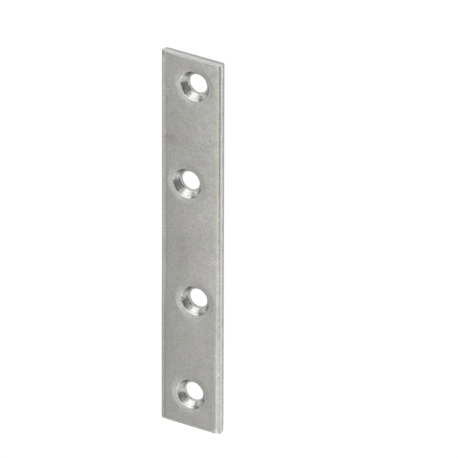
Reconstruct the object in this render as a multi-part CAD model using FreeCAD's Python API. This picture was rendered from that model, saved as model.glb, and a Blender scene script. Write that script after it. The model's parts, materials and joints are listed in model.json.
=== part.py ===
import FreeCAD, Part
import math
import os

# A mending plate: one flat steel strip with four countersunk screw holes, staggered along it.
# It lies on its back. X runs across the width, Y along the length, and Z up out of the face
# that the countersinks open into. The origin is the middle of the back. Sizes are in millimetres.

# The strip
PLATE_LENGTH = 100.0
PLATE_WIDTH = 16.0
PLATE_THICKNESS = 2.3
CORNER_RADIUS = 0.4

# Shearing rolls the face over at its edges, each over a width and a depth of its own.
# The sides are named as seen from the front, with the first hole's end at the top.
LEFT_ROLL_WIDTH = 1.5
LEFT_ROLL_DEPTH = 0.5
RIGHT_ROLL_WIDTH = 0.85
RIGHT_ROLL_DEPTH = 0.5
TOP_ROLL_WIDTH = 0.3
TOP_ROLL_DEPTH = 0.25
BOTTOM_ROLL_WIDTH = 0.9
BOTTOM_ROLL_DEPTH = 0.3

# The screw holes: a straight wall at the back, a cone, and a shallow dish drawn down round it
HOLE_DIAMETER = 5.0
COUNTERSINK_DIAMETER = 7.8
COUNTERSINK_ANGLE = 82.0
DISH_WIDTH = 1.3
DISH_DEPTH = 0.11

# The end holes are set from the strip's ends, +Y first, and each inner hole from its end hole
FIRST_HOLE_FROM_END = 7.2
FIRST_TO_SECOND_HOLE = 26.6
THIRD_TO_FOURTH_HOLE = 26.0
FOURTH_HOLE_FROM_END = 8.9

# How far each hole stands to the right of the centreline, towards +X
FIRST_HOLE_OFFSET = 1.1
SECOND_HOLE_OFFSET = -0.9
THIRD_HOLE_OFFSET = 1.25
FOURTH_HOLE_OFFSET = 0.15

# How far a cutting shape runs past the surfaces that it cuts
OVERCUT = 1.0


def point(x, y, z):
    return FreeCAD.Vector(x, y, z)


def face_inside(edges):
    return Part.Face(Part.Wire(Part.__sortEdges__(edges)))


def ellipse_arc(centre, half_axes, start, end):
    # The shorter arc from start to end, of the ellipse that has these two half axes.
    longer, shorter = sorted(half_axes, key=lambda axis: axis.Length, reverse=True)
    ellipse = Part.Ellipse(centre + longer, centre + shorter, centre)
    first, last = sorted((ellipse.parameter(start), ellipse.parameter(end)))
    if last - first > math.pi:
        first, last = last, first + 2 * math.pi
    return ellipse.toShape(first, last)


def rolled_section(across, half_span, far_roll, near_roll):
    # The strip's section in the plane of Z and the unit vector across, with the far roll on
    # the side that the vector points to. Each upper corner is a quarter ellipse, which leaves
    # the face level and meets the side upright.
    up = point(0, 0, 1)
    edges = [Part.makeLine(-half_span * across, half_span * across)]
    crests = []
    for side, (roll_width, roll_depth) in ((1, far_roll), (-1, near_roll)):
        foot = side * half_span * across
        shoulder = foot + (PLATE_THICKNESS - roll_depth) * up
        centre = shoulder - side * roll_width * across
        crest = centre + roll_depth * up
        edges.append(Part.makeLine(foot, shoulder))
        edges.append(ellipse_arc(centre, (roll_width * across, roll_depth * up), shoulder, crest))
        crests.append(crest)
    edges.append(Part.makeLine(*crests))
    return face_inside(edges)


def strip_with_rolled_sides():
    right = (RIGHT_ROLL_WIDTH, RIGHT_ROLL_DEPTH)
    left = (LEFT_ROLL_WIDTH, LEFT_ROLL_DEPTH)
    section = rolled_section(point(1, 0, 0), PLATE_WIDTH / 2, right, left)
    section.translate(point(0, -PLATE_LENGTH / 2, 0))
    return section.extrude(point(0, PLATE_LENGTH, 0))


def strip_with_rolled_ends():
    top = (TOP_ROLL_WIDTH, TOP_ROLL_DEPTH)
    bottom = (BOTTOM_ROLL_WIDTH, BOTTOM_ROLL_DEPTH)
    section = rolled_section(point(0, 1, 0), PLATE_LENGTH / 2, top, bottom)
    section.translate(point(-PLATE_WIDTH / 2, 0, 0))
    return section.extrude(point(PLATE_WIDTH, 0, 0))


def strip_with_round_corners():
    corner = point(-PLATE_WIDTH / 2, -PLATE_LENGTH / 2, 0)
    block = Part.makeBox(PLATE_WIDTH, PLATE_LENGTH, PLATE_THICKNESS, corner)
    upright = [edge for edge in block.Edges if edge.BoundBox.ZLength > PLATE_THICKNESS / 2]
    return block.makeFillet(CORNER_RADIUS, upright)


def hole_places():
    first = PLATE_LENGTH / 2 - FIRST_HOLE_FROM_END
    fourth = FOURTH_HOLE_FROM_END - PLATE_LENGTH / 2
    return [
        point(FIRST_HOLE_OFFSET, first, 0),
        point(SECOND_HOLE_OFFSET, first - FIRST_TO_SECOND_HOLE, 0),
        point(THIRD_HOLE_OFFSET, fourth + THIRD_TO_FOURTH_HOLE, 0),
        point(FOURTH_HOLE_OFFSET, fourth, 0),
    ]


def hole_cutter():
    # What one screw hole takes away, turned about the hole's axis. The dish is the last part
    # of an ellipse's arc, which leaves the face level and meets the cone at a crease.
    dish_turn = math.radians(45)
    dish_half_axes = (
        point(DISH_WIDTH / math.sin(dish_turn), 0, 0),
        point(0, 0, DISH_DEPTH / (1 - math.cos(dish_turn))),
    )
    wall_radius = HOLE_DIAMETER / 2
    cone_radius = COUNTERSINK_DIAMETER / 2
    rim_radius = cone_radius + DISH_WIDTH
    cone_top = PLATE_THICKNESS - DISH_DEPTH
    cone_foot = cone_top - (cone_radius - wall_radius) / math.tan(math.radians(COUNTERSINK_ANGLE / 2))
    top = PLATE_THICKNESS + OVERCUT
    bottom = min(0, cone_foot) - OVERCUT

    crease = point(cone_radius, 0, cone_top)
    rim = point(rim_radius, 0, PLATE_THICKNESS)
    below_dish = Part.makePolygon([
        crease,
        point(wall_radius, 0, cone_foot),
        point(wall_radius, 0, bottom),
        point(0, 0, bottom),
        point(0, 0, top),
        point(rim_radius, 0, top),
        rim,
    ])
    dish = ellipse_arc(rim - dish_half_axes[1], dish_half_axes, crease, rim)
    return face_inside(below_dish.Edges + [dish]).revolve(point(0, 0, 0), point(0, 0, 1), 360)


def make_plate():
    plate = strip_with_rolled_sides().common(strip_with_rolled_ends())
    plate = plate.common(strip_with_round_corners())
    cutter = hole_cutter()
    for place in hole_places():
        plate = plate.cut(cutter.translated(place))
    return plate.removeSplitter().Solids[0]


os.makedirs("parts", exist_ok=True)
make_plate().exportStep("parts/plate.step")
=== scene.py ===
from collections import namedtuple
import json
import math

import bmesh
import bpy
from mathutils import Matrix, Vector, noise


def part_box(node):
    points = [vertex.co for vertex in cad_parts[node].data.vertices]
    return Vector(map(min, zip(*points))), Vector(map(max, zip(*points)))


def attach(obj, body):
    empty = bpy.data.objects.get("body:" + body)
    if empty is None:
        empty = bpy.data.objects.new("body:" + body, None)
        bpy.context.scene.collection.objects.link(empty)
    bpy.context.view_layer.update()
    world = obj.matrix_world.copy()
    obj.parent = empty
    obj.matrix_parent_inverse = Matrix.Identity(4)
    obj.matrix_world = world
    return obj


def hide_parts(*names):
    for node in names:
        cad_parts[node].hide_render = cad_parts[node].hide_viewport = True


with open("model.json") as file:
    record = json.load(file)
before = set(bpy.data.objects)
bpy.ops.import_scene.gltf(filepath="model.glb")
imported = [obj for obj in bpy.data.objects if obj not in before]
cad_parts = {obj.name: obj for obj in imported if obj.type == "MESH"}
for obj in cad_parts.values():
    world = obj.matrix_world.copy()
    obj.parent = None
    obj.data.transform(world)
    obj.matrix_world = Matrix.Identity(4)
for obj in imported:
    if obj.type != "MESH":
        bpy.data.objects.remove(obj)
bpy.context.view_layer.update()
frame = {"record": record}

# A mending plate that lies on its back, with its countersinks up. Sizes are in millimetres, in the
# plate's own frame: X across, Y along, Z up out of the face. Its sides are named as seen from the
# front, with the first hole's end at the top.
MM = 0.001
BORES = [mount for mount in frame["record"]["mounts"] if mount["kind"] == "bore"]
HOLES = [Vector(mount["pos_m"][:2]) / MM for mount in BORES]
HOLE_RADIUS = BORES[0]["dims"]["r_mm"]
WALL_HEIGHT = BORES[0]["dims"]["length_mm"]
HALF_WIDTH, HALF_LENGTH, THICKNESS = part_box("plate")[1] / MM

# The radius of the outline's corners, and how far the edge of the back is rounded off
CORNER_RADIUS = 0.4
BACK_ROUND = 0.04

# Each corner: the radius of the level face there, how much deeper it rolls down, how far the edge
# of the back is rounded off, and how far the upright edge bulges. Two opposite corners are worn
# round. The wear and the bulge fade out over the two reaches.
Corner = namedtuple("Corner", "shoulder drop back bulge")
WORN_CORNER = Corner(1.3, 0.3, 0.45, 0.22)
CRISP_CORNER = Corner(0.5, 0.1, 0.08, 0.05)
WEAR_REACH = 1.3
BULGE_REACH = 0.7

# How the face rolls down to each edge: its width, its depth, and how much of the depth is a plain
# bevel, which starts with a soft bend
Roll = namedtuple("Roll", "width depth bevel")
LEFT_ROLL = Roll(1.5, 0.5, 0.27)
RIGHT_ROLL = Roll(0.85, 0.55, 0.12)
TOP_ROLL = Roll(0.3, 0.25, 0.0)
BOTTOM_ROLL = Roll(0.9, 0.3, 0.1)
BEVEL_BEND = 0.12

# The long sides' rolls change softly to these below the third hole
LOW_LEFT_ROLL = Roll(1.5, 0.34, 0.06)
LOW_RIGHT_ROLL = Roll(0.85, 0.55, 0.36)
ROLL_FADE = 6

# Where across the roll its own finish is full, and where the sheared side's finish begins
ROLL_FINISH_FULL = 0.625
BURNISH_START = 0.75

# How high the torn lower part of the sheared sides and ends reaches, how far it stands in, and the
# least height of the smooth part above it
SIDE_TEAR = 0.75
END_TEAR = 0.95
TEAR_INSET = 0.035
LEAST_SMOOTH = 0.1

# The face bulges across the strip, but hardly below the third hole
CROWN = 0.21
FLAT_CROWN = 0.05
CROWN_FADE = 12

# The countersink's cone, with a soft bend at its foot and a rounded crease at its top, and the
# dish that the punch drew down round it
CONE_RADIUS = 3.9
FOOT_BEND = 0.2
CREASE = 0.05
DISH_WIDTH = 1.6
DISH_DEPTH = 0.11
DISH_BEND = 0.25

# How far the cone's wall leans from level, and where the bend at its foot ends
CONE_LEAN = math.atan2(THICKNESS - DISH_DEPTH - WALL_HEIGHT, CONE_RADIUS - HOLE_RADIUS)
FOOT_END_RADIUS = HOLE_RADIUS + FOOT_BEND * math.cos(CONE_LEAN)

# The hole narrows a little towards the back, where its edge is broken
WALL_TAPER = 0.14
BACK_BREAK = 0.08
BACK_RADIUS = HOLE_RADIUS - WALL_TAPER

# Uneven shapes: how high the lumps are, how long, and where in the noise they are taken
Lumps = namedtuple("Lumps", "height length seed")
FACE_WAVES = (Lumps(0.006, 7, 3.3), Lumps(0.006, 3, 8.1))
TEAR_WANDER = (Lumps(0.25, 2.2, 1.9), Lumps(0.12, 0.7, 4.4))
TEAR_LUMPS = Lumps(0.028, 0.5, 7.2)
WALL_LUMPS = Lumps(0.03, 0.6, 5.7)
CONE_LUMPS = Lumps(0.035, 1.1, 2.6)

# The cutter has chattered in the third hole's cone, between these two angles in degrees
CHATTER = Lumps(0.11, 0.45, 6.1)
CHATTER_FROM, CHATTER_TO = 140, 235

# Mesh spacing along the edges, and steps across the strip and round a corner
SPACING = 0.34
ACROSS_STEPS = 40
CORNER_STEPS = 10

# Steps up each part of a hole and out over the dish
WALL_STEPS = 3
FOOT_STEPS = 6
CONE_STEPS = 14
CREASE_STEPS = 4
DISH_STEPS = 12

# Steps over the rolled edge, down its smooth part and round the edge of the back
ROLL_STEPS = 16
SMOOTH_STEPS = 3
BACK_STEPS = 4

# Where the mesh has points: from the hole to the outline on the back, from the dish to the
# shoulder on the face, and down the torn part
BACK_SHARES = (1.0, 0.85, 0.6, 0.35, 0.15)
FACE_SHARES = (0.05, 0.12, 0.2, 0.3, 0.4, 0.5, 0.6, 0.7, 0.8, 0.9, 1.0)
TEAR_SHARES = (0.12, 0.3, 0.5, 0.7, 0.88)

# Points this near each other become one, and places that agree to this many digits of a metre
# are the same. Edges sharper than this angle stay sharp in the shading.
WELD_DISTANCE = 0.0005
PLACE_DIGITS = 9
SHARP_ANGLE = math.radians(40)

# The parts of the surface that differ in finish
ZONES = ("cone", "wall", "dish", "roll", "burnish", "torn")

# A point of the border: on the outline, on the level face's own border, the roll between them,
# how far the back's edge is rounded off, and how far the side bulges
Border = namedtuple("Border", "foot shoulder roll back bulge", defaults=(BACK_ROUND, 0))

# A point of the hole's profile: its radius, its height above the back or its depth below the
# face, and how much of each zone's finish it has
ProfilePoint = namedtuple("ProfilePoint", "radius height depth zones")

# A point of the mesh: where it is, its zones, and its direction from the hole with its radius
MeshPoint = namedtuple("MeshPoint", "place zones around", defaults=({}, Vector((0, 0, 0))))


def steps(first, last, count):
    """Evenly spaced values, the first and the last included."""
    return [first + (last - first) * i / count for i in range(count + 1)]


def lumpy(place, lumps):
    """Smooth noise about zero. From its deepest to its highest is about the lumps' height."""
    return lumps.height * noise.noise(place.to_3d() / lumps.length + Vector((0, 0, lumps.seed)))


def lowness(y, fade):
    """From 0 at the strip's upper part to 1 at its lower part, with a soft change at the third hole."""
    return 0.5 - 0.5 * math.tanh((y - HOLES[2].y) / fade)


def face_height(place):
    """The height of the bulging, faintly waved face, as it would be without the holes."""
    crown = CROWN + (FLAT_CROWN - CROWN) * lowness(place.y, CROWN_FADE)
    bulge = crown * (place.x / HALF_WIDTH) ** 2
    return THICKNESS - bulge + sum(lumpy(place, waves) for waves in FACE_WAVES)


def side_roll(sign):
    return RIGHT_ROLL if sign > 0 else LEFT_ROLL


def end_roll(sign):
    return TOP_ROLL if sign > 0 else BOTTOM_ROLL


def blended_roll(first, second, share):
    return Roll(*(a + (b - a) * share for a, b in zip(first, second)))


def corner_shape(x_sign, y_sign):
    return CRISP_CORNER if x_sign == y_sign else WORN_CORNER


def shoulder_corner(x_sign, y_sign):
    """The centre of the level face's rounded corner in one quadrant."""
    radius = corner_shape(x_sign, y_sign).shoulder
    x = HALF_WIDTH - side_roll(x_sign).width - radius
    y = HALF_LENGTH - end_roll(y_sign).width - radius
    return Vector((x_sign * x, y_sign * y))


def shoulder_y(sign, y):
    """Where the shoulder stands beside the point y of the outline's straight side."""
    low, high = shoulder_corner(sign, -1).y, shoulder_corner(sign, 1).y
    straight = HALF_LENGTH - CORNER_RADIUS
    return low + (high - low) * (y + straight) / (2 * straight)


def side_border(sign, start, end):
    """The border along one long side."""
    roll = side_roll(sign)
    border = []
    for y in steps(start, end, max(2, round(abs(end - start) / SPACING))):
        foot = Vector((sign * HALF_WIDTH, y))
        shoulder = Vector((sign * (HALF_WIDTH - roll.width), shoulder_y(sign, y)))
        border.append(Border(foot, shoulder, roll))
    return border


def end_border(sign):
    """The border along one end."""
    roll = end_roll(sign)
    outer = HALF_WIDTH - CORNER_RADIUS
    start, end = shoulder_corner(sign, sign).x, shoulder_corner(-sign, sign).x
    border = []
    for share in steps(0, 1, ACROSS_STEPS):
        foot = Vector((sign * outer * (1 - 2 * share), sign * HALF_LENGTH))
        shoulder = Vector((start + (end - start) * share, sign * (HALF_LENGTH - roll.width)))
        border.append(Border(foot, shoulder, roll))
    return border


def corner_border(x_sign, y_sign, start):
    """One corner, counter-clockwise from the angle start."""
    outer = Vector((x_sign * (HALF_WIDTH - CORNER_RADIUS), y_sign * (HALF_LENGTH - CORNER_RADIUS)))
    border = []
    for angle in steps(start, start + math.pi / 2, CORNER_STEPS):
        way = Vector((math.cos(angle), math.sin(angle)))
        towards_end = math.asin(min(1, abs(way.y))) / (math.pi / 2)
        roll = blended_roll(side_roll(x_sign), end_roll(y_sign), towards_end)
        shoulder = shoulder_corner(x_sign, y_sign) + corner_shape(x_sign, y_sign).shoulder * way
        border.append(Border(outer + CORNER_RADIUS * way, shoulder, roll))
    return border


def seam_border(sign, y):
    """The seam between two blocks, where the strip has no edge."""
    right = Vector((HALF_WIDTH - RIGHT_ROLL.width, shoulder_y(1, y)))
    left = Vector((LEFT_ROLL.width - HALF_WIDTH, shoulder_y(-1, y)))
    border = []
    for share in steps(sign, -sign, ACROSS_STEPS):
        foot = Vector(((HALF_WIDTH - BACK_ROUND) * share, y))
        border.append(Border(foot, left.lerp(right, (share + 1) / 2), roll=None, back=0))
    return border


def roll_with_low_part(point):
    """The border point's roll, changed to the low one where it is on a long side's lower part."""
    low = LOW_RIGHT_ROLL if point.foot.x > 0 else LOW_LEFT_ROLL
    on_side = min(1, max(0, 1 + (abs(point.foot.x) - HALF_WIDTH) / CORNER_RADIUS))
    return blended_roll(point.roll, low, on_side * lowness(point.foot.y, ROLL_FADE))


def finished(point):
    """The border point with its side's low roll and its nearest corner's wear."""
    if not point.roll:
        return point
    x_sign, y_sign = math.copysign(1, point.foot.x), math.copysign(1, point.foot.y)
    shape = corner_shape(x_sign, y_sign)
    distance = (point.foot - Vector((x_sign * HALF_WIDTH, y_sign * HALF_LENGTH))).length
    wear = math.exp(-(distance / WEAR_REACH) ** 2)
    roll = roll_with_low_part(point)
    return point._replace(
        roll=roll._replace(depth=roll.depth + shape.drop * wear),
        back=BACK_ROUND + (shape.back - BACK_ROUND) * wear,
        bulge=shape.bulge * math.exp(-(distance / BULGE_REACH) ** 2),
    )


def block_border(index):
    """Counter-clockwise points round the block of the strip that holds one hole."""
    seams = [(a.y + b.y) / 2 for a, b in zip(HOLES, HOLES[1:])]
    straight = HALF_LENGTH - CORNER_RADIUS
    is_first, is_last = index == 0, index == len(HOLES) - 1
    high = straight if is_first else seams[index - 1]
    low = -straight if is_last else seams[index]
    border = side_border(1, low, high)
    if is_first:
        border += corner_border(1, 1, 0) + end_border(1) + corner_border(-1, 1, math.pi / 2)
    else:
        border += seam_border(1, high)
    border += side_border(-1, high, low)
    if is_last:
        border += corner_border(-1, -1, math.pi) + end_border(-1) + corner_border(1, -1, 1.5 * math.pi)
    else:
        border += seam_border(-1, low)
    return [finished(point) for point in border]


def outward(border):
    """The level direction from the shoulder out to the outline."""
    return (border.foot - border.shoulder).normalized()


def eased(share, bend):
    """From 0 to 1 as share is, straight but for a soft start."""
    return (math.hypot(share, bend) - bend) / (math.hypot(1, bend) - bend)


def above_back(radius, height, zones):
    return ProfilePoint(radius, height, None, zones)


def below_face(radius, depth, zones):
    return ProfilePoint(radius, None, depth, zones)


def wall_profile():
    """From the back's broken edge up the wall."""
    profile = [above_back(BACK_RADIUS + BACK_BREAK, 0.0, {"torn": 1})]
    for share in steps(0, 1, WALL_STEPS):
        height = BACK_BREAK + (WALL_HEIGHT - FOOT_BEND - BACK_BREAK) * share
        profile.append(above_back(BACK_RADIUS + WALL_TAPER * share, height, {"wall": 1}))
    return profile


def cone_profile():
    """Round the bend at the cone's foot and up the cone."""
    profile = []
    bend_out, bend_up = FOOT_END_RADIUS - HOLE_RADIUS, FOOT_BEND * math.sin(CONE_LEAN)
    for share in steps(0, 1, FOOT_STEPS)[1:]:
        height = WALL_HEIGHT - FOOT_BEND * (1 - share) ** 2 + bend_up * share ** 2
        zones = {"wall": 1 - share, "cone": share}
        profile.append(above_back(HOLE_RADIUS + bend_out * share ** 2, height, zones))
    for radius in steps(FOOT_END_RADIUS, CONE_RADIUS - CREASE, CONE_STEPS)[1:]:
        height = WALL_HEIGHT + (radius - HOLE_RADIUS) * math.tan(CONE_LEAN)
        profile.append(above_back(radius, height, {"cone": 1}))
    return profile


def dish_profile():
    """Over the rounded crease and out over the dish to its rim."""
    profile = []
    for share in steps(0, 1, CREASE_STEPS)[1:]:
        radius = CONE_RADIUS + CREASE * (2 * share - 1)
        depth = DISH_DEPTH + CREASE * (1 - share) ** 2
        profile.append(below_face(radius, depth, {"cone": 1 - share, "dish": share}))
    for share in steps(0, 1, DISH_STEPS)[1:]:
        radius = CONE_RADIUS + CREASE + (DISH_WIDTH - CREASE) * share
        depth = DISH_DEPTH * eased(1 - share, DISH_BEND)
        profile.append(below_face(radius, depth, {"dish": 1 - share}))
    return profile


def hole_profile():
    """From the back up the hole and out to the dish's rim."""
    return wall_profile() + cone_profile() + dish_profile()


def add_column(bm, layers, points):
    column = []
    for point in points:
        vertex = bm.verts.new(point.place * MM)
        for zone, weight in point.zones.items():
            vertex[layers[zone]] = weight
        vertex[layers["around"]] = point.around
        column.append(vertex)
    return column


def bridge(bm, columns):
    """Faces between neighbouring columns, left out where they would have no width."""
    for left, right in zip(columns, columns[1:]):
        for corners in zip(left, right, right[1:], left[1:]):
            if len({corner.co.to_tuple(PLACE_DIGITS) for corner in corners}) == len(corners):
                bm.faces.new(corners)


def chatter_strength(hole, ray):
    """How strongly the cutter's chatter shows at this side of the hole."""
    if hole != HOLES[2]:
        return 0
    angle = math.degrees(math.atan2(ray.y, ray.x)) % 360
    share = (angle - CHATTER_FROM) / (CHATTER_TO - CHATTER_FROM)
    return math.sin(math.pi * min(1, max(0, share)))


def hole_points(hole, ray):
    """Up the hole and out to the rim along one ray."""
    points = []
    for radius, height, depth, zones in hole_profile():
        flat = hole + ray * radius
        if height is None:
            height = face_height(flat) - depth
        place = Vector((flat.x, flat.y, height))
        if "wall" in zones:
            place += ray.to_3d() * zones["wall"] * lumpy(place, WALL_LUMPS)
        if "cone" in zones:
            lumps = lumpy(place, CONE_LUMPS) + chatter_strength(hole, ray) * lumpy(place, CHATTER)
            place += ray.to_3d() * zones["cone"] * lumps
        points.append(MeshPoint(place, zones, Vector((ray.x, ray.y, radius))))
    return points


def block_column(hole, border):
    """From the outline over the back to the hole, up it, and over the face to the shoulder."""
    ray = (border.shoulder - hole).normalized()
    back_rim = hole + ray * (BACK_RADIUS + BACK_BREAK)
    edge = border.foot - outward(border) * border.back
    points = [MeshPoint(back_rim.lerp(edge, share).to_3d()) for share in BACK_SHARES]
    points += hole_points(hole, ray)
    rim = hole + ray * (CONE_RADIUS + DISH_WIDTH)
    for share in FACE_SHARES:
        flat = rim.lerp(border.shoulder, share)
        points.append(MeshPoint(Vector((flat.x, flat.y, face_height(flat)))))
    return points


def tear_height(border):
    """Where the smooth shear gives way to the torn part; it wanders along the edge."""
    is_side = abs(border.foot.x) > HALF_WIDTH - CORNER_RADIUS / 4
    height = SIDE_TEAR if is_side else END_TEAR
    return height + sum(lumpy(border.foot, wander) for wander in TEAR_WANDER)


def roll_drop(roll, share):
    """How far the roll has come down at this share of its width."""
    curl = 1 - math.sqrt(max(0, 1 - share ** 2))
    return roll.bevel * eased(share, BEVEL_BEND) + (roll.depth - roll.bevel) * curl


def bulge_at(border, height):
    """How far the side bulges out at this height."""
    return outward(border) * border.bulge * math.sin(math.pi * height / THICKNESS)


def side_point(border, height, inset, zones):
    """A point of the sheared side, set in from where the side would stand."""
    flat = border.foot + bulge_at(border, height) - outward(border) * inset
    return MeshPoint(Vector((flat.x, flat.y, height)), zones)


def roll_points(border):
    """From the shoulder over the rolled edge."""
    points = []
    shoulder_drop = THICKNESS - face_height(border.shoulder)
    for share in steps(0, 1, ROLL_STEPS):
        turn = share * math.pi / 2
        height = THICKNESS - shoulder_drop * math.cos(turn) - roll_drop(border.roll, math.sin(turn))
        flat = border.shoulder.lerp(border.foot, math.sin(turn)) + bulge_at(border, height) * share
        roll = min(1, share / ROLL_FINISH_FULL)
        burnish = max(0, (share - BURNISH_START) / (1 - BURNISH_START))
        points.append(MeshPoint(Vector((flat.x, flat.y, height)), {"roll": roll, "burnish": burnish}))
    return points


def sheared_points(border):
    """Down the smooth and the torn part of the side."""
    side_top = THICKNESS - border.roll.depth
    tear = min(tear_height(border), side_top - LEAST_SMOOTH)
    points = []
    for height in steps(side_top, tear, SMOOTH_STEPS)[1:]:
        points.append(side_point(border, height, 0, {"burnish": 1}))
    for share in TEAR_SHARES:
        height = tear + (border.back - tear) * share
        rough = lumpy(Vector((border.foot.x, border.foot.y, height)), TEAR_LUMPS)
        points.append(side_point(border, height, TEAR_INSET + rough, {"torn": 1}))
    return points


def back_edge_points(border):
    """Round the edge of the back, which is half as torn as the side."""
    points = []
    for turn in steps(0, math.pi / 2, BACK_STEPS):
        height = border.back * (1 - math.sin(turn))
        inset = border.back * (1 - math.cos(turn))
        points.append(side_point(border, height, inset, {"torn": 0.5}))
    return points


def side_column(border):
    """From the shoulder over the roll and down the sheared side to the back."""
    return roll_points(border) + sheared_points(border) + back_edge_points(border)


def add_block(bm, layers, index):
    border = block_border(index)
    ring = border + border[:1]
    bridge(bm, [add_column(bm, layers, block_column(HOLES[index], point)) for point in ring])
    sides = [add_column(bm, layers, side_column(point)) if point.roll else None for point in ring]
    for left, right in zip(sides, sides[1:]):
        if left and right:
            bridge(bm, [right, left])


def make_plate():
    bm = bmesh.new()
    layers = {zone: bm.verts.layers.float.new(zone) for zone in ZONES}
    layers["around"] = bm.verts.layers.float_vector.new("around")
    for index in range(len(HOLES)):
        add_block(bm, layers, index)
    bmesh.ops.remove_doubles(bm, verts=bm.verts, dist=WELD_DISTANCE * MM)
    bmesh.ops.recalc_face_normals(bm, faces=bm.faces)
    mesh = bpy.data.meshes.new("mending_plate")
    bm.to_mesh(mesh)
    bm.free()
    mesh.shade_smooth()
    mesh.set_sharp_from_angle(angle=SHARP_ANGLE)
    piece = bpy.data.objects.new("mending_plate", mesh)
    bpy.context.scene.collection.objects.link(piece)
    return piece


# A noise: its lumps per millimetre, how fine its detail goes and how strong that is, how far it
# is distorted, and how far it is squeezed along each axis first
PATTERN_FIELDS = "scale detail roughness distortion squeeze"
Pattern = namedtuple("Pattern", PATTERN_FIELDS, defaults=(0.5, 0.0, None))
GRAIN = Pattern(1.9, 5.0, 0.72)
MOTTLE = Pattern(0.5, 4.0, 0.6)
CLOUD = Pattern(0.085, 2.0, 0.5, 0.4)
TINT = Pattern(0.22, 3.0)
SHEAR = Pattern(1.0, 3.0, 0.6, 0.0, (5.0, 5.0, 0.6))
TURNING = Pattern(1.0, 3.0, 0.6, 0.0, (1.5, 1.5, 4.0))
BLOTCH = Pattern(1.3, 3.0, 0.6, 0.5, (1.6, 1.6, 1.4))
RAGGED = Pattern(0.7, 4.0, 0.6)
WOBBLE = Pattern(0.8, 2.0)
SCRATCH_LINES = Pattern(1.0, 1.0)
SCRATCH_PATCHES = Pattern(0.16, 1.0)

# The ranges of a noise that a mask or a colour goes through
NOISE_RANGE = (0.3, 0.7)
TINT_RANGE = (0.35, 0.65)
STREAK_RANGE = (0.4, 0.6)
SCRATCH_RANGE = (0.62, 0.7)

# Scratches that run one way: their turn, their length and width, and how much of the face they
# cross. They change slowly through the plate's thickness.
Scratches = namedtuple("Scratches", "turn length width amount")
SCRATCHES = (
    Scratches(0.9, 5.0, 0.10, 0.12),
    Scratches(-0.5, 7.0, 0.12, 0.06),
    Scratches(0.15, 9.0, 0.09, 0.08),
)
SCRATCH_SQUEEZE_DOWN = 0.3

# Short strokes across the right edge: their middle, half the width and length of their patch,
# their spacing and their turn, how uneven they are, and the part of each wave that shows
SCUFF_PLACE = (6.3, -2.7)
SCUFF_SIZE = (1.5, 1.8)
SCUFF_SPACING = 0.72
SCUFF_TURN = math.radians(43)
SCUFF_WOBBLE = 0.8
SCUFF_RANGE = (0.2, 0.9)

# A spot has faded out at the first of these distances from its middle, in half widths, and is full
# at the second. Its border is ragged by this much.
SPOT_RANGE = (1.1, 0.4)
SPOT_RAGGED = 0.45

# Faint stains on the face, and two dark lines of painted crease shade: the middle, half the width and
# length, the colour and its strength
Stain = namedtuple("Stain", "centre size colour amount")
STAINS_AND_CREASE_SHADE = (
    Stain((-2.4, -3.4), (1.9, 4.5), (0.42, 0.39, 0.38, 1), 0.5),
    Stain((-5.2, 27.5), (1.2, 2.2), (0.42, 0.39, 0.37, 1), 0.5),
    Stain((0.4, 37.6), (2.0, 0.7), (0.545, 0.53, 0.575, 1), 0.7),
    Stain((6.9, 16.0), (0.35, 52.0), (0.54, 0.54, 0.445, 1), 0.8),
    # A dark line of painted shade along the crease at the left shoulder
    Stain((-6.4, 12.0), (0.26, 40.0), (0.42, 0.42, 0.40, 1), 0.85),
    # A dark line of painted shade along a crease on the lower right of the face
    Stain((5.95, -37.0), (0.4, 14.0), (0.42, 0.42, 0.40, 1), 0.6),
)


def grey(value, warmth=0.97):
    """A grey with a little less blue."""
    return (value, value, value * warmth, 1)


# The metal's colours. The face's and the cones' go from one tint to the other.
FACE_TINTS = ((0.503, 0.505, 0.471, 1), (0.514, 0.50, 0.482, 1))
CONE_TINTS = (grey(0.51), grey(0.74))
ZONE_COLOURS = {
    "dish": grey(0.53),
    "roll": (0.55, 0.55, 0.515, 1),
    "burnish": grey(0.6, 0.98),
    "torn": grey(0.45),
    "wall": grey(0.5),
}

# The tint of what the metal reflects at a slant: on the face, and in the cones and on the rolls, where
# its grey is painted shade that darkens their slanting reflections
RIM_TINTS_AND_PAINTED_SHADE = ((1, 1, 1, 1), grey(0.35, 1))

# How rough the face is, how much smoother its light grain and mottle are, and each zone that
# differs from it
FACE_ROUGHNESS = 0.36
LIGHT_SMOOTHER = 0.04
ZONE_ROUGHNESS = {"roll": 0.19, "burnish": 0.24, "torn": 0.5, "wall": 0.32}
CONE_ROUGHNESS = (0.2, 0.3)

# How far each pattern lightens and darkens the face
MOTTLE_SHADE = 0.07
CLOUD_SHADE = 0.06
GRAIN_SHADE = 0.18
SCRATCH_SHADE = 0.12
SCUFF_SHADE = 0.36

# How far a relief of 1 stands out, how much of it each pattern has beside the grain, and how much
# of the torn part's relief the smooth part of the side has
RELIEF_HEIGHT = 0.006
SCRATCH_RELIEF = 0.6
TURNING_RELIEF = 3.5
SHEAR_RELIEF = 6.0
BURNISH_SHEAR = 0.4


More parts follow.
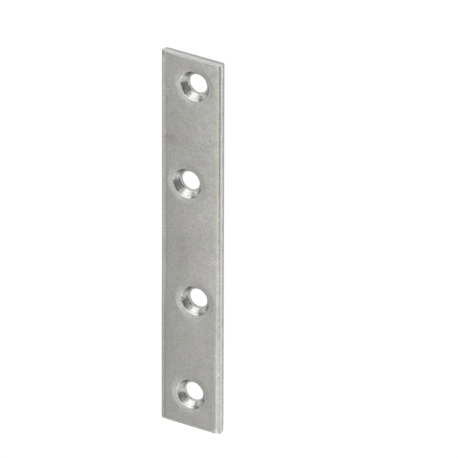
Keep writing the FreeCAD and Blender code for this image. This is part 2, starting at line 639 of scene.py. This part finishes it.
class Paint:
    """Builds a material's nodes. Each input is a value or another node's socket."""

    def __init__(self, name):
        self.material = bpy.data.materials.new(name)
        self.material.use_nodes = True
        self.tree = self.material.node_tree

    def add(self, kind, inputs, **settings):
        made = self.tree.nodes.new("ShaderNode" + kind)
        for name, value in settings.items():
            setattr(made, name, value)
        for name, value in inputs.items():
            self.put(made.inputs[name], value)
        return made

    def put(self, socket, value):
        if isinstance(value, bpy.types.NodeSocket):
            self.tree.links.new(value, socket)
        else:
            socket.default_value = value

    def math(self, operation, a, b=0.0):
        return self.add("Math", {0: a, 1: b}, operation=operation).outputs[0]

    def plus(self, a, b):
        return self.math("ADD", a, b)

    def times(self, a, b):
        return self.math("MULTIPLY", a, b)

    def larger(self, a, b):
        return self.math("MAXIMUM", a, b)

    def mix(self, factor, a, b):
        return self.add("Mix", {"Factor": factor, "A": a, "B": b}).outputs["Result"]

    def mix_colour(self, factor, a, b):
        return self.add("Mix", {"Factor": factor, "A": a, "B": b}, data_type="RGBA").outputs["Result"]

    def scaled(self, vector, factors):
        return self.add("VectorMath", {0: vector, 1: factors}, operation="MULTIPLY").outputs[0]

    def turned(self, vector, angle):
        inputs = {"Vector": vector, "Angle": angle}
        return self.add("VectorRotate", inputs, rotation_type="Z_AXIS").outputs[0]

    def noise(self, vector, pattern):
        if pattern.squeeze:
            vector = self.scaled(vector, pattern.squeeze)
        inputs = {
            "Vector": vector,
            "Scale": pattern.scale,
            "Detail": pattern.detail,
            "Roughness": pattern.roughness,
            "Distortion": pattern.distortion,
        }
        return self.add("TexNoise", inputs).outputs["Fac"]

    def ramp(self, value, low, high, to_low=0.0, to_high=1.0):
        inputs = {"Value": value, "From Min": low, "From Max": high, "To Min": to_low, "To Max": to_high}
        return self.add("MapRange", inputs).outputs["Result"]

    def swing(self, value, amount):
        """The noise's usual range turned into minus the amount to the amount."""
        return self.ramp(value, *NOISE_RANGE, -amount, amount)

    def attribute(self, name, output):
        return self.add("Attribute", {}, attribute_name=name).outputs[output]


def scratches(paint, place, kind):
    """Mask of thin faint lines, which come in patches."""
    turned = paint.turned(place, kind.turn)
    squeeze = (1 / kind.width, 1 / kind.length, SCRATCH_SQUEEZE_DOWN)
    lines = paint.noise(turned, SCRATCH_LINES._replace(squeeze=squeeze))
    thin = paint.ramp(lines, *SCRATCH_RANGE)
    low, high = (end - kind.amount for end in SCRATCH_RANGE)
    return paint.times(thin, paint.ramp(paint.noise(turned, SCRATCH_PATCHES), low, high))


def all_scratches(paint, place, roll):
    """Every kind of scratch, on the face but not on the rolled edges."""
    marks = scratches(paint, place, SCRATCHES[0])
    for kind in SCRATCHES[1:]:
        marks = paint.plus(marks, scratches(paint, place, kind))
    return paint.mix(roll, marks, 0.0)


def spot(paint, place, centre, size):
    """Soft mask, 1 in the middle of an upright oval on the face and ragged at its border."""
    offset = paint.add("VectorMath", {0: place, 1: (*centre, 0)}, operation="SUBTRACT").outputs[0]
    scaled = paint.scaled(offset, (1 / size[0], 1 / size[1], 0))
    distance = paint.add("VectorMath", {0: scaled}, operation="LENGTH").outputs["Value"]
    ragged = paint.swing(paint.noise(place, RAGGED), SPOT_RAGGED)
    return paint.ramp(paint.plus(distance, ragged), *SPOT_RANGE)


def scuff(paint, place):
    """Mask of a few short strokes side by side."""
    across = paint.add("SeparateXYZ", {"Vector": paint.turned(place, SCUFF_TURN)}).outputs["X"]
    wobble = paint.swing(paint.noise(place, WOBBLE), SCUFF_WOBBLE)
    wave = paint.math("SINE", paint.plus(paint.times(across, 2 * math.pi / SCUFF_SPACING), wobble))
    strokes = paint.ramp(wave, *SCUFF_RANGE)
    return paint.times(strokes, spot(paint, place, SCUFF_PLACE, SCUFF_SIZE))


def metal_colour(paint, place, zones, streaks):
    """The face's colour with its stains and its painted crease shade, changed zone by zone to each
    zone's own.
    """
    colour = paint.mix_colour(paint.ramp(paint.noise(place, TINT), *TINT_RANGE), *FACE_TINTS)
    # Stains, and the dark lines of painted shade along creases, over the face's tint
    for stain_and_shade in STAINS_AND_CREASE_SHADE:
        stain_and_shade_mask = paint.times(spot(paint, place, stain_and_shade.centre, stain_and_shade.size), stain_and_shade.amount)
        colour = paint.mix_colour(stain_and_shade_mask, colour, stain_and_shade.colour)
    for zone, zone_colour in ZONE_COLOURS.items():
        colour = paint.mix_colour(zones[zone], colour, zone_colour)
    cone_colour = paint.mix_colour(paint.ramp(streaks, *STREAK_RANGE), *CONE_TINTS)
    return paint.mix_colour(zones["cone"], colour, cone_colour)


def metal_shade(paint, place, grain, mottle, marks):
    """The factor, near 1, that makes the metal lighter or darker than its colour."""
    cloud = paint.noise(place, CLOUD)
    shade = paint.plus(paint.swing(mottle, MOTTLE_SHADE), paint.swing(cloud, CLOUD_SHADE))
    shade = paint.plus(shade, paint.swing(grain, GRAIN_SHADE))
    shade = paint.plus(shade, paint.times(marks, SCRATCH_SHADE))
    shade = paint.plus(shade, paint.times(scuff(paint, place), SCUFF_SHADE))
    return paint.plus(shade, 1.0)


def metal_roughness(paint, zones, grain, mottle, turning):
    """The face's roughness, changed zone by zone to each zone's own."""
    rough = paint.plus(FACE_ROUGHNESS, paint.swing(mottle, -LIGHT_SMOOTHER))
    rough = paint.plus(rough, paint.swing(grain, -LIGHT_SMOOTHER))
    for zone, zone_roughness in ZONE_ROUGHNESS.items():
        rough = paint.mix(zones[zone], rough, zone_roughness)
    return paint.mix(zones["cone"], rough, paint.ramp(turning, *NOISE_RANGE, *CONE_ROUGHNESS))


def metal_relief(paint, place, zones, grain, marks, turning, blotch):
    """Fine relief: grain and scratches, turning marks in the cones, and shear marks on the sides."""
    relief = paint.math("SUBTRACT", grain, paint.times(marks, SCRATCH_RELIEF))
    turned_relief = paint.plus(paint.times(turning, TURNING_RELIEF), blotch)
    relief = paint.mix(zones["cone"], relief, turned_relief)
    sheared = paint.larger(zones["torn"], paint.times(zones["burnish"], BURNISH_SHEAR))
    sheared = paint.larger(sheared, zones["wall"])
    shear_relief = paint.times(paint.noise(place, SHEAR), SHEAR_RELIEF)
    relief = paint.mix(sheared, relief, shear_relief)
    inputs = {"Height": relief, "Distance": RELIEF_HEIGHT * MM, "Strength": 1.0}
    return paint.add("Bump", inputs).outputs["Normal"]


def plated_steel():
    """Fine-grained plated steel, brighter in the turned cones and on the sheared edges."""
    paint = Paint("plated_steel")
    place = paint.scaled(paint.add("TexCoord", {}).outputs["Object"], (1 / MM,) * 3)
    around = paint.attribute("around", "Vector")
    zones = {zone: paint.attribute(zone, "Fac") for zone in ZONES}
    grain, mottle = paint.noise(place, GRAIN), paint.noise(place, MOTTLE)
    turning, blotch = paint.noise(around, TURNING), paint.noise(around, BLOTCH)
    marks = all_scratches(paint, place, zones["roll"])
    streaks = paint.times(paint.plus(blotch, turning), 0.5)
    colour = metal_colour(paint, place, zones, streaks)
    shade = metal_shade(paint, place, grain, mottle, marks)
    tone = paint.add("HueSaturation", {"Color": colour, "Value": shade}).outputs["Color"]
    # In the cones and on the rolls, painted shade darkens what the metal reflects at a slant
    rim_tint_and_shade = paint.mix_colour(paint.larger(zones["cone"], zones["roll"]), *RIM_TINTS_AND_PAINTED_SHADE)
    rough = metal_roughness(paint, zones, grain, mottle, turning)
    normal = metal_relief(paint, place, zones, grain, marks, turning, blotch)
    shader = paint.tree.nodes["Principled BSDF"]
    paint.put(shader.inputs["Metallic"], 1.0)
    paint.put(shader.inputs["Specular Tint"], rim_tint_and_shade)
    paint.put(shader.inputs["Base Color"], tone)
    paint.put(shader.inputs["Roughness"], rough)
    paint.put(shader.inputs["Normal"], normal)
    return paint.material


# The lamps, as seen from the plate: the angle from X towards Y, the height angle, the width and
# height, the brightness, and the distance. Angles are in degrees and lengths in metres.
USUAL_DISTANCE = 0.6
SOFTBOX_FIELDS = "name azimuth elevation width height radiance distance"
Softbox = namedtuple("Softbox", SOFTBOX_FIELDS, defaults=(USUAL_DISTANCE,))
SOFTBOXES = (
    Softbox("overhead", 228, 90, 0.9, 0.9, 0.63),
    Softbox("top", 108, 32, 0.6, 0.34, 1.0),
    Softbox("top_wide", 101, 34, 0.94, 0.36, 0.46),
    Softbox("upper", 90, 58, 0.45, 0.16, 0.9),
    Softbox("upper_right", 47, 62, 0.2, 0.27, 1.1, 0.42),
    Softbox("front", 250, 24, 0.6, 0.17, 0.8),
    Softbox("front_middle", 278, 33, 0.4, 0.28, 1.15),
    Softbox("front_high", 265, 53, 0.4, 0.17, 0.44),
    Softbox("front_left", 234, 60, 0.16, 0.16, 0.46, 0.45),
    Softbox("left", 202, 31, 0.36, 0.27, 0.68),
    Softbox("low_right", 315, 28, 0.12, 0.14, 0.62, 0.222),
    Softbox("low_bevel", 295, 40, 0.045, 0.045, 0.36, 0.103),
    Softbox("low_front", 284, 9, 0.36, 0.12, 0.8, 0.45),
    Softbox("far_right", 328, 6, 0.3, 0.07, 0.5, 0.5),
)
WORLD_GREY = 0.21


def add_softbox(box):
    """An area lamp that faces the plate and isn't seen by the camera."""
    lamp = bpy.data.lights.new(box.name, "AREA")
    lamp.shape = "RECTANGLE"
    lamp.size = box.width
    lamp.size_y = box.height
    lamp.energy = box.radiance * math.pi * box.width * box.height
    piece = bpy.data.objects.new(box.name, lamp)
    azimuth, elevation = math.radians(box.azimuth), math.radians(box.elevation)
    level = Vector((math.cos(azimuth), math.sin(azimuth), 0))
    towards = level * math.cos(elevation) + Vector((0, 0, math.sin(elevation)))
    across = Vector((-math.sin(azimuth), math.cos(azimuth), 0))
    facing = Matrix((across, towards.cross(across), towards)).transposed().to_4x4()
    piece.matrix_world = Matrix.Translation(towards * box.distance) @ facing
    piece.visible_camera = False
    bpy.context.scene.collection.objects.link(piece)


def make_light():
    """A plain grey world and the lamps."""
    world = bpy.data.worlds.new("world")
    bpy.context.scene.world = world
    world.use_nodes = True
    world.node_tree.nodes["Background"].inputs["Color"].default_value = (WORLD_GREY,) * 3 + (1,)
    for box in SOFTBOXES:
        add_softbox(box)


# The floor is square, this many metres from its middle to each side, and lies this many
# millimetres under the plate. It lights the plate as a pale floor does, and is shown nearly white,
# with the plate's shadow on it.
FLOOR_HALF_SIZE = 6.0
FLOOR_GAP = 0.02
FLOOR_COLOUR = 0.8
SHOWN_FLOOR_COLOUR = 0.1
SHOWN_FLOOR_GLOW = 0.94


def floor_material():
    """A diffuse pale floor for the light, and a nearly white one for camera, glossy and clear rays."""
    paint = Paint("floor")
    paint.tree.nodes.remove(paint.tree.nodes["Principled BSDF"])
    path = paint.add("LightPath", {}).outputs
    shown = paint.larger(path["Is Camera Ray"], path["Is Glossy Ray"])
    shown = paint.larger(shown, path["Is Transmission Ray"])
    plain = paint.add("BsdfDiffuse", {"Color": (FLOOR_COLOUR,) * 3 + (1,)}).outputs[0]
    faint = paint.add("BsdfDiffuse", {"Color": (SHOWN_FLOOR_COLOUR,) * 3 + (1,)}).outputs[0]
    glow = paint.add("Emission", {"Strength": SHOWN_FLOOR_GLOW}).outputs[0]
    pale = paint.add("AddShader", {0: faint, 1: glow}).outputs[0]
    surface = paint.add("MixShader", {0: shown, 1: plain, 2: pale}).outputs[0]
    paint.put(paint.tree.nodes["Material Output"].inputs["Surface"], surface)
    return paint.material


def make_floor():
    half = FLOOR_HALF_SIZE
    corners = [(-half, -half, 0), (half, -half, 0), (half, half, 0), (-half, half, 0)]
    mesh = bpy.data.meshes.new("floor")
    mesh.from_pydata(corners, [], [(0, 1, 2, 3)])
    floor = bpy.data.objects.new("floor", mesh)
    bpy.context.scene.collection.objects.link(floor)
    floor.location.z = -FLOOR_GAP * MM
    mesh.materials.append(floor_material())


# The photograph's camera, fitted to the plate's outline and holes. It stands at these degrees from
# Z towards X and then towards Y, and is turned a little about its own view. The photograph's width
# and the focal length are in its pixels, and the camera's distance from what it looks at and its
# clipping are in metres.
PHOTO_PIXELS = 458
FOCAL_PIXELS = 9251
SENSOR_WIDTH = 36
VIEW_AZIMUTH, VIEW_PITCH, VIEW_ROLL = 30.299, 29.425, 0.2
VIEW_CENTRE = (10.70, 7.35, 2.3)
VIEW_DISTANCE = 2.181
NEAR_CLIP, FAR_CLIP = 0.1, 30


def make_camera():
    azimuth, pitch, roll = (math.radians(angle) for angle in (VIEW_AZIMUTH, VIEW_PITCH, VIEW_ROLL))
    level = math.cos(pitch)
    forward = Vector((-math.sin(azimuth) * level, -math.sin(pitch), -math.cos(azimuth) * level))
    level_right = Vector((math.cos(azimuth), 0, -math.sin(azimuth)))
    level_up = level_right.cross(forward)
    right = math.cos(roll) * level_right + math.sin(roll) * level_up
    up = math.cos(roll) * level_up - math.sin(roll) * level_right
    camera = bpy.data.cameras.new("camera")
    camera.lens = FOCAL_PIXELS / PHOTO_PIXELS * SENSOR_WIDTH
    camera.sensor_width = SENSOR_WIDTH
    camera.clip_start = NEAR_CLIP
    camera.clip_end = FAR_CLIP
    piece = bpy.data.objects.new("camera", camera)
    bpy.context.scene.collection.objects.link(piece)
    turn = Matrix((right, up, -forward)).transposed()
    place = Vector(VIEW_CENTRE) * MM - forward * VIEW_DISTANCE
    piece.matrix_world = Matrix.Translation(place) @ turn.to_4x4()
    bpy.context.scene.camera = piece


plate = make_plate()
plate.data.materials.append(plated_steel())
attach(plate, "root")
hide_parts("plate")

make_light()
make_floor()
make_camera()
bpy.context.scene.view_settings.view_transform = "Standard"
